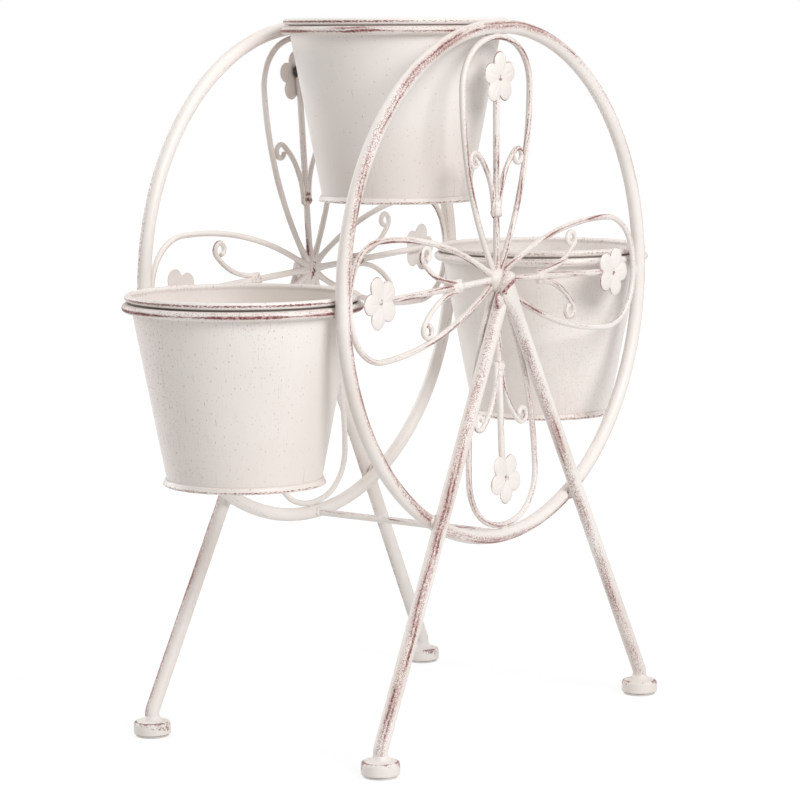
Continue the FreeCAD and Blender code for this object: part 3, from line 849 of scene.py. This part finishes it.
def foot():
    """A turned foot with a rounded edge, a groove over its underside with painted shade in it, and a cone of
    weld at the leg.
    """
    corner = leg_line()[1]
    radius, height = FOOT_RADIUS, FOOT_HEIGHT
    profile = [(0.2, 0.0, 0.1), (radius - 3.0, 0.0, 0.1), (radius - 1.9, 0.3, 0.2), (radius - 1.5, 1.0, 0.1)]
    # the groove's corners at level 1.5 take painted shade
    profile += [(radius - 1.4, 1.7, 0.2), (radius - 1.3, 1.9, 1.5)]
    profile += [(radius - 0.7, 2.2, 1.5), (radius - 0.15, 2.5, 0.7)]
    profile += [(radius, 3.2, 0.1), (radius, 5.0, 0.2), (radius, 7.0, 0.45), (radius, height - 3.4, 0.6)]
    for angle, level in ((15, 0.7), (32, 0.75), (50, 0.9), (62, 1.05), (75, 0.7), (90, 0.3)):
        turn = math.radians(angle)
        across = radius - FOOT_ROUNDING + FOOT_ROUNDING * math.cos(turn)
        profile.append((across, height - 3.2 + FOOT_ROUNDING * math.sin(turn), level))
    neck = LEG_TUBE / 2
    profile += [(neck + 4.2, height - 0.05, 0.1), (neck + 2.6, height + 0.5, 0.1)]
    profile += [(neck + 1.4, height + 1.7, 0.3), (neck + 0.6, height + 3.2, 0.2)]
    profile.append((neck - 0.3, height + 4.6, 0.1))
    outline = [(across, up) for across, up, level in profile]
    worn = [level for across, up, level in profile]
    skin = Surface()
    skin.turned(outline, worn, FOOT_STEPS)
    return skin.moved(Matrix.Translation((corner.x, corner.y, 0)))


# ---- Pots and rings ----


def wall_radius(height):
    share = (height - SKIRT_HEIGHT) / (POT_HEIGHT - SKIRT_HEIGHT)
    return POT_BOTTOM_RADIUS + (POT_TOP_RADIUS - POT_BOTTOM_RADIUS) * share


def rim_top(name):
    return polar(STATION_RADIUS, STATIONS[name]) + AXIS_Z * (HOOP_HEIGHT + RIM_OVER_STATION)


def pot_wall(wall_wear, gap_shade, rim_turn, rim_most):
    """The tapered sheet, outside and inside, and its rolled rim, most worn at the turn rim_turn. The band
    just under the rim is darkened as painted shade.
    """
    roll = RIM_HEIGHT / 2
    roll_centre = (RIM_RADIUS - roll, POT_HEIGHT - roll)
    outline, worn = [], []
    neck = POT_HEIGHT - RIM_HEIGHT - 0.2
    for i in range(25):
        height = 4.0 + (neck - 7.5 - 4.0) * i / 24
        outline.append((wall_radius(height), height))
        worn.append(wall_wear)
    # the band just under the rim takes painted shade, for the gap over the ring
    for height, level in ((neck - 4.2, gap_shade - 0.1), (neck - 1.0, gap_shade), (neck, gap_shade)):
        outline.append((wall_radius(height), height))
        worn.append(level)
    for angle in range(-110, 211, 20):
        turn = math.radians(angle)
        outline.append((roll_centre[0] + roll * math.cos(turn), roll_centre[1] + roll * math.sin(turn)))
        worn.append(RIM_LINE if angle in (-10, 10) else 0.4 if angle < 90 else 0.2)
    for i in range(12):
        height = POT_HEIGHT - RIM_HEIGHT - (POT_HEIGHT - RIM_HEIGHT - 2.6) * i / 11
        outline.append((wall_radius(height) - POT_WALL, height))
        worn.append(0.0)

    def level(i, share):
        if worn[i] != RIM_LINE:
            return worn[i]
        side = 0.5 + 0.5 * math.cos(2 * math.pi * (share - rim_turn))
        return RIM_LEAST + (rim_most - RIM_LEAST) * min(1.0, max(0.0, (side - 0.45) / 0.4))

    skin = Surface()
    skin.turned(outline, level)
    return skin


def pot_base():
    """The pot's floor and its flared skirt, whose lower edge is rubbed."""
    low = wall_radius(2)
    outline = [(0.2, 2.2), (low - 4.5, 2.2), (low - 2.0, 2.6), (low - 1.1, 3.6)]
    inner = len(outline)
    outer = [(POT_BOTTOM_RADIUS + 0.2, SKIRT_HEIGHT), (POT_BOTTOM_RADIUS + 0.9, SKIRT_HEIGHT - 0.4)]
    outer.append((POT_BOTTOM_RADIUS + 1.5, SKIRT_HEIGHT - 1.4))
    for inset, height in ((0.9, 2.6), (0.2, 1.7), (0, 1.1), (0.15, 0.5), (0.7, 0.1), (2.0, 0.0), (3.2, 0.3)):
        outer.append((BASE_RADIUS - inset, height))
    outer += [(BASE_RADIUS - 3.8, 1.0), (0.2, 1.0)]
    levels = [0.0] * inner + [0.05, 0.15, 0.2, 0.35, 0.95, 1.0, 0.5, 0.3, 0.2, 0.1, 0.0, 0.0]
    skin = Surface()

    def worn(i, share):
        """Most worn towards the photograph's left, and bare of wear towards its right."""
        side = 0.5 + 0.5 * math.cos(2 * math.pi * (share - BASE_WORN_TURN))
        return levels[i] * min(1.0, 0.15 + 1.25 * side**1.2)

    skin.turned((outline + outer)[::-1], lambda i, share: worn(len(levels) - 1 - i, share))
    return skin


def ring(seed, low, high, rise):
    """A pot's ring about the origin, raised by rise, with a weld towards each hoop."""
    skin = Surface()
    path = []
    for i in range(RING_STEPS):
        turn = 2 * math.pi * i / RING_STEPS
        path.append(Vector((RING_RADIUS * math.cos(turn), RING_RADIUS * math.sin(turn), rise)))
    skin.wire(path, AXIS_Z, RING_WIRE + RING_PAINT, wavering(low, high, seed, 9.0), 100.0, closed=True)
    reach = WHEEL_SPACING / 2 - HOOP_TUBE / 2
    for side in (-1, 1):
        weld = AXIS_Y * (side * (reach - 1.4)) + AXIS_Z * (rise - 0.8)
        skin.bead(weld, (5.4, 2.6, 4.2), 0.7, 0.25, seed=seed + side)
    return skin


# ---- The whole stand ----


def steps_through(entries):
    """A function of the share along a piece, through (share, value) pairs with smooth steps between them."""

    def level(share):
        for (start, low), (end, high) in zip(entries, entries[1:]):
            if share <= end:
                part = max(0.0, (share - start) / (end - start))
                return low + (high - low) * part * part * (3 - 2 * part)
        return entries[-1][1]

    return level


def add(skin, node, matrix=None, body="stand", slot="frame_paint", material=WIRE_PAINT):
    """Puts a skin in its place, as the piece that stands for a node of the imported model."""
    placed = skin.moved(matrix) if matrix else skin
    placed.piece("fine_" + node, body, slot, material, node)


def add_wheel(side, quarters, mirror, worn, seed):
    """A wheel's hub and quarters. mirror puts the front wheel's shapes at the rear."""
    add(hub_lump(worn * 0.4, seed), side + "_hub", mirror)
    for number, (name, (angle, scroll_place)) in enumerate(quarters.items()):
        place = mirror @ in_wheel(angle)
        mark = seed + number * 1.37
        add(petal(angle, worn, mark), side + "_petal_" + name, place)
        add(spoke(worn, mark + 0.4), side + "_spoke_" + name, place)
        add(scroll_pair(scroll_place, worn, mark + 0.8), side + "_scrolls_" + name, place)
        add(flower(worn), side + "_flower_" + name, place, material=FLOWER_PAINT)
        tack(mark).moved(place).piece("tack_" + side + "_" + name, "stand", "frame_paint", TACK_METAL)


# How worn a leg is from its foot to its top, and between which degrees from outward its worn line wavers.
LEG_WORN = {"left": [(0.0, 0.95), (0.5, 1.04), (0.7, 0.95), (0.85, 0.5), (1.0, 0.4)]}
LEG_WORN["right"] = [(0.0, 0.5), (0.2, 0.55), (0.4, 0.3), (0.55, 0.8), (0.75, 0.7), (0.9, 0.3), (1.0, 0.3)]
LEG_LINE = {"left": (55, 85), "right": (-60, -15)}


def add_legs(side, lapping, mirror, seed):
    for name in ("left", "right"):
        flip = mirror if name == "right" else mirror @ MIRROR_X
        worn = steps_through(LEG_WORN[name])
        low, high = LEG_LINE[name]
        skin = leg(name == lapping, worn, wavering(low, high, seed + len(name) + 2, 2.5))
        add(skin, side + "_leg_" + name, flip, material=TUBE_PAINT)
        add(foot(), side + "_foot_" + name, flip, slot="foot_paint", material=FOOT_PAINT)


# Each pot's wear, the painted shade under its rim, and where and how much its rim is worn.
WALLS = {
    "left": (WALL_WEAR, 1.48, 0.58, 1.12),
    "top": (WALL_WEAR, 1.36, 0.42, 1.2),
    "right": (0.0, 1.4, 0.4, 0.8),
}
RING_WORN = {"left": (1.15, 1.5), "top": (1.0, 1.4), "right": (0.0, 0.4)}


def add_pots():
    for number, name in enumerate(STATIONS):
        top = rim_top(name)
        ring_place = Matrix.Translation(top - AXIS_Z * RING_UNDER_RIM)
        add(ring(number * 2.1, *RING_WORN[name], RING_RISE[name]), "ring_" + name, ring_place)
        place = Matrix.Translation(top - AXIS_Z * POT_HEIGHT)
        body = "pot_" + name
        add(pot_wall(*WALLS[name]), "pot_" + name, place, body, "pot_paint", POT_PAINT)
        add(pot_base(), "pot_base_" + name, place, body, "pot_paint", POT_PAINT)


def crossbar():
    """The bar between the hoops, with a weld at each end."""
    place = polar(HOOP_RADIUS, CROSSBAR_ANGLE) + AXIS_Z * HOOP_HEIGHT
    end = WHEEL_SPACING / 2 - HOOP_TUBE / 2 + 1
    skin = Surface()
    path = straight(place - AXIS_Y * end, place + AXIS_Y * end)
    skin.wire(path, AXIS_Z, CROSSBAR_WIRE, wavering(0.1, 0.7, 4.4))
    for side in (-1, 1):
        skin.bead(place + AXIS_Y * (side * (end - 1.5)), (4.6, 2.4, 3.8), 0.7, 0.3, seed=side)
    return skin


IN_PLACE = Matrix.Identity(4)
FRONT_HOOP_WORN = [(0.0, 0.6), (0.12, 0.5), (0.22, 0.9), (0.3, 1.1), (0.42, 0.7), (0.5, 0.9), (0.62, 1.0)]
FRONT_HOOP_WORN += [(0.72, 0.8), (0.8, 1.0), (0.9, 1.1), (1.0, 0.6)]
FRONT_HOOP_LINE = [(0.0, 70), (0.1, 60), (0.2, 40), (0.3, 30), (0.4, 50), (0.5, -10), (0.6, -20), (0.7, 30)]
FRONT_HOOP_LINE += [(0.8, 60), (0.9, 75), (1.0, 70)]

add(hoop(steps_through(FRONT_HOOP_WORN), steps_through(FRONT_HOOP_LINE)), "front_hoop", material=TUBE_PAINT)
rear_hoop = hoop(wavering(0.0, 1.0, 8.0, 8.0), wavering(-70, 70, 9.0, 4.0))
add(rear_hoop, "rear_hoop", MIRROR_Y, material=TUBE_PAINT)
add_wheel("front", FRONT_QUARTERS, IN_PLACE, 1.0, 1.0)
add_wheel("rear", REAR_QUARTERS, MIRROR_Y, 0.9, 21.0)
add_legs("front", "left", IN_PLACE, 3.3)
add_legs("rear", "right", MIRROR_Y, 13.3)
add_pots()
add(crossbar(), "crossbar")


# ---- Floor, light and camera ----


def stage_paint():
    """A white floor that keeps the stand's shadow, and is plainly white to the camera and in reflections."""
    nodes = Nodes(bpy.data.materials.new("stage_paint"))
    seen = nodes.seen()
    matte = nodes.node("ShaderNodeBsdfDiffuse", {"Color": (0.86, 0.86, 0.86, 1)}).outputs["BSDF"]
    white = nodes.node("ShaderNodeEmission", {"Color": (1, 1, 1, 1), "Strength": 1.06}).outputs["Emission"]
    distance = nodes.node("ShaderNodeVectorMath", {0: nodes.place()}, operation="LENGTH").outputs["Value"]
    lift = nodes.ramp(distance, 0.35, 0.8, 0.82, 1.0)
    lifted = nodes.node("ShaderNodeMixShader", {0: lift, 1: matte, 2: white}).outputs[0]
    shown = nodes.node("ShaderNodeMixShader", {0: seen, 1: matte, 2: lifted}).outputs[0]
    nodes.node("ShaderNodeOutputMaterial", {"Surface": shown})
    return nodes.owner


def add_floor():
    mesh = bpy.data.meshes.new("floor")
    reach = FLOOR_REACH
    corners = [(-reach, -reach, 0), (reach, -reach, 0), (reach, reach, 0), (-reach, reach, 0)]
    mesh.from_pydata(corners, [], [(0, 1, 2, 3)])
    mesh.materials.append(stage_paint())
    floor = bpy.data.objects.new("floor", mesh)
    bpy.context.scene.collection.objects.link(floor)


def add_world():
    """Soft light from all round, and plain white where it is seen."""
    nodes = Nodes(bpy.data.worlds.new("studio"))
    seen = nodes.seen()
    soft = nodes.node("ShaderNodeBackground", {"Color": (1, 0.985, 0.95, 1), "Strength": 0.33}).outputs[0]
    white = nodes.node("ShaderNodeBackground", {"Color": (1, 1, 1, 1), "Strength": 1.0}).outputs[0]
    shown = nodes.node("ShaderNodeMixShader", {0: seen, 1: soft, 2: white}).outputs[0]
    nodes.node("ShaderNodeOutputWorld", {"Surface": shown})
    bpy.context.scene.world = nodes.owner


def add_lamp(name, place, target, size, energy):
    data = bpy.data.lights.new(name, "AREA")
    data.shape = "RECTANGLE"
    data.size, data.size_y = size
    data.energy = energy
    lamp = bpy.data.objects.new(name, data)
    lamp.location = place
    lamp.rotation_euler = (Vector(target) - Vector(place)).to_track_quat("-Z", "Y").to_euler()
    bpy.context.scene.collection.objects.link(lamp)


def add_camera():
    data = bpy.data.cameras.new("camera")
    data.sensor_width = 36
    data.lens = LENS
    data.shift_x = SHIFT_X
    data.shift_y = SHIFT_Y
    camera = bpy.data.objects.new("camera", data)
    turn = Matrix((CAMERA_RIGHT, CAMERA_UP, CAMERA_BACK)).transposed().to_4x4()
    camera.matrix_world = Matrix.Translation(EYE) @ turn
    bpy.context.scene.collection.objects.link(camera)
    bpy.context.scene.camera = camera


add_floor()
add_world()
add_lamp("key", (-0.9, -2.85, 2.1), (0, 0, 0.3), (1.6, 1.6), 82)
add_lamp("rim", (-0.4, 3.0, 1.2), (0, 0, 0.3), (1.6, 1.6), 46)
add_lamp("top", (0, 0, 2.6), (0, 0, 0), (2.0, 2.0), 17)
add_camera()
bpy.context.scene.view_settings.view_transform = "Standard"
